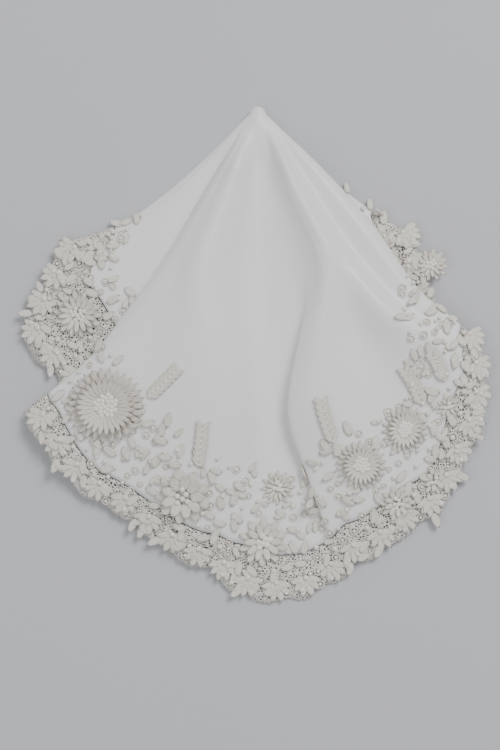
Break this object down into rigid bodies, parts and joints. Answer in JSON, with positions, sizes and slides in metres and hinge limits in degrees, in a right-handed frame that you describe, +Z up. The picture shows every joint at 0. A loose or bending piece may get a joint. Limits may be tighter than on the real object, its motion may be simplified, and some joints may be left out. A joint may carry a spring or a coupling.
{
  "type": "lace-edged handkerchief",
  "caption": "Lady's handkerchief of smooth pale cloth with a broad beaded lace edging, gathered at one point and laid down as a fan of soft folds.",
  "frame": {"origin": "centre of the bottom of the bounding box, on the surface that the cloth lies on", "axes": "+Z up from the surface; +Y towards the gathered tip; +X to the right, seen from above with the tip away from the viewer"},
  "size_m": [0.2326, 0.2508, 0.0216],
  "materials": {
    "cloth": "smooth satin-like white cloth with a soft sheen",
    "lace": "matt ivory cord lace on net",
    "raised_lace": "ivory corded flowers and leaves, sewn on",
    "pearl": "cream pearl beads with a soft gloss"
  },
  "bodies": {
    "root": {"cloth": "cloth", "lace_edging": "lace", "flower_back_left": "raised_lace", "flower_great": "raised_lace", "flower_left": "raised_lace", "flower_front": "raised_lace", "flower_valley": "raised_lace", "flower_roll": "raised_lace", "flower_right": "raised_lace", "flower_right_low": "raised_lace", "flower_star": "raised_lace", "flower_small": "raised_lace", "flower_back_right": "raised_lace", "sprig_feather": "raised_lace", "sprig_left": "raised_lace", "sprig_roll": "raised_lace", "sprig_right": "raised_lace", "sprig_edge": "raised_lace"}
  },
  "joints": []
}
